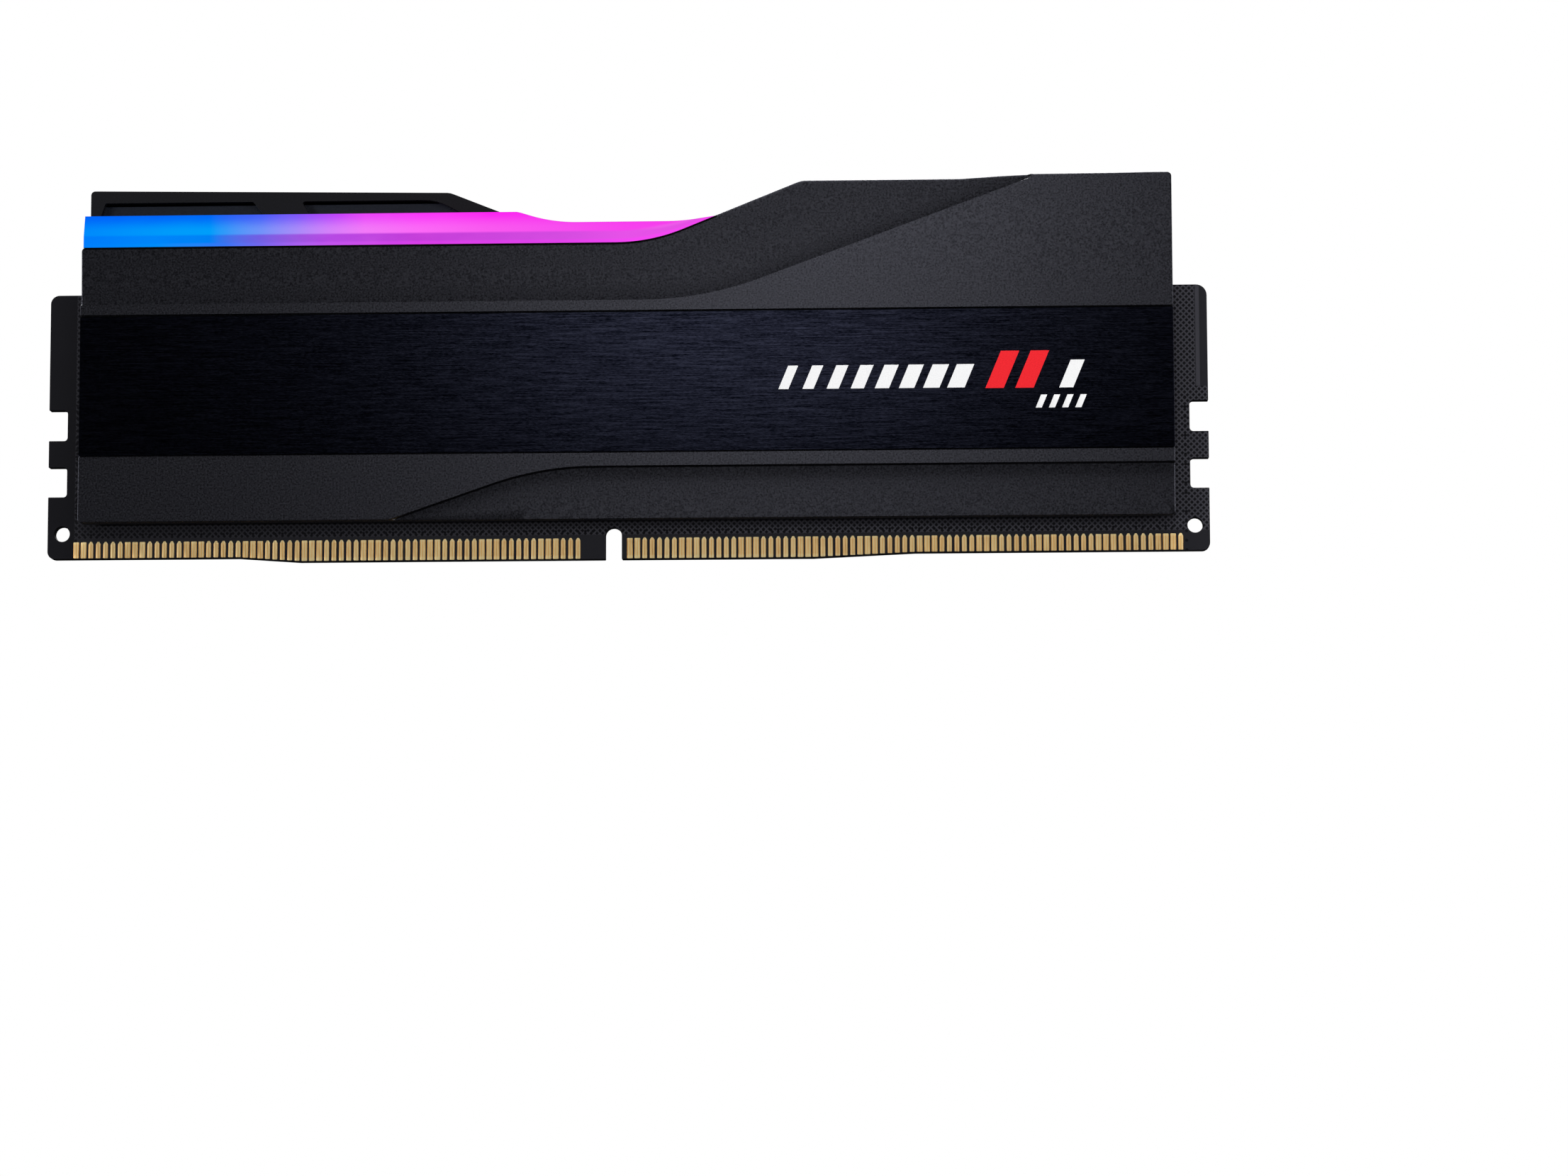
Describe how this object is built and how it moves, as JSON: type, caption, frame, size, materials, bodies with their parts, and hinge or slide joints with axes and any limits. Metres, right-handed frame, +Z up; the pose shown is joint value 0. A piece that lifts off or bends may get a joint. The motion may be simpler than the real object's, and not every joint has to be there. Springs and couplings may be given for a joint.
{
  "type": "ram module",
  "caption": "Desktop memory module: a keyed circuit board with gold edge contacts between two black aluminium heat spreaders, with a lit translucent bar along the top.",
  "frame": {"origin": "middle of the contact edge, on the board's middle plane", "axes": "+X along the module to the right as seen from its front, -Y out of the front, +Z up from the contact edge to the light bar"},
  "size_m": [0.1334, 0.008, 0.0437],
  "materials": {
    "board_mask": "black solder mask over a hatched copper plane, satin",
    "gold_contact": "hard gold plating, brushed along the finger",
    "chip_epoxy": "moulded epoxy, matt",
    "shell_coat": "fine bead-blasted and anodised black, matt",
    "brushed_trim": "brushed along its length and anodised blue-black",
    "diffuser": "translucent milky plastic, lit blue at the left and magenta from the middle on",
    "thermal_pad": "soft silicone, matt",
    "tape": "double-sided foam tape",
    "ceramic_part": "fired ceramic with tinned ends",
    "ferrite_part": "pressed ferrite powder, matt",
    "light_lens": "clear resin over a white cup",
    "label_paper": null
  },
  "bodies": {
    "root": {"capacitor_1": "ceramic_part", "capacitor_2": "ceramic_part", "capacitor_3": "ceramic_part", "capacitor_4": "ceramic_part", "capacitor_5": "ceramic_part", "capacitor_6": "ceramic_part", "circuit_board": "board_mask", "front_bar_tape": "tape", "front_contacts_long": "gold_contact", "front_contacts_short": "gold_contact", "front_heat_spreader": "shell_coat", "front_trim_plate": "brushed_trim", "front_trim_tape": "tape", "identity_chip": "chip_epoxy", "inductor_1": "ferrite_part", "inductor_2": "ferrite_part", "inductor_3": "ferrite_part", "light_1": "light_lens", "light_2": "light_lens", "light_3": "light_lens", "light_4": "light_lens", "light_5": "light_lens", "light_6": "light_lens", "light_7": "light_lens", "light_8": "light_lens", "light_bar": "diffuser", "light_controller": "chip_epoxy", "memory_chip_1": "chip_epoxy", "memory_chip_2": "chip_epoxy", "memory_chip_3": "chip_epoxy", "memory_chip_4": "chip_epoxy", "memory_chip_5": "chip_epoxy", "memory_chip_6": "chip_epoxy", "memory_chip_7": "chip_epoxy", "memory_chip_8": "chip_epoxy", "power_controller": "chip_epoxy", "rear_bar_tape": "tape", "rear_contacts_long": "gold_contact", "rear_contacts_short": "gold_contact", "rear_heat_spreader": "shell_coat", "rear_label": "label_paper", "rear_trim_plate": "brushed_trim", "rear_trim_tape": "tape", "thermal_pad_left": "thermal_pad", "thermal_pad_power": "thermal_pad", "thermal_pad_rear": "thermal_pad", "thermal_pad_right": "thermal_pad"}
  },
  "joints": []
}
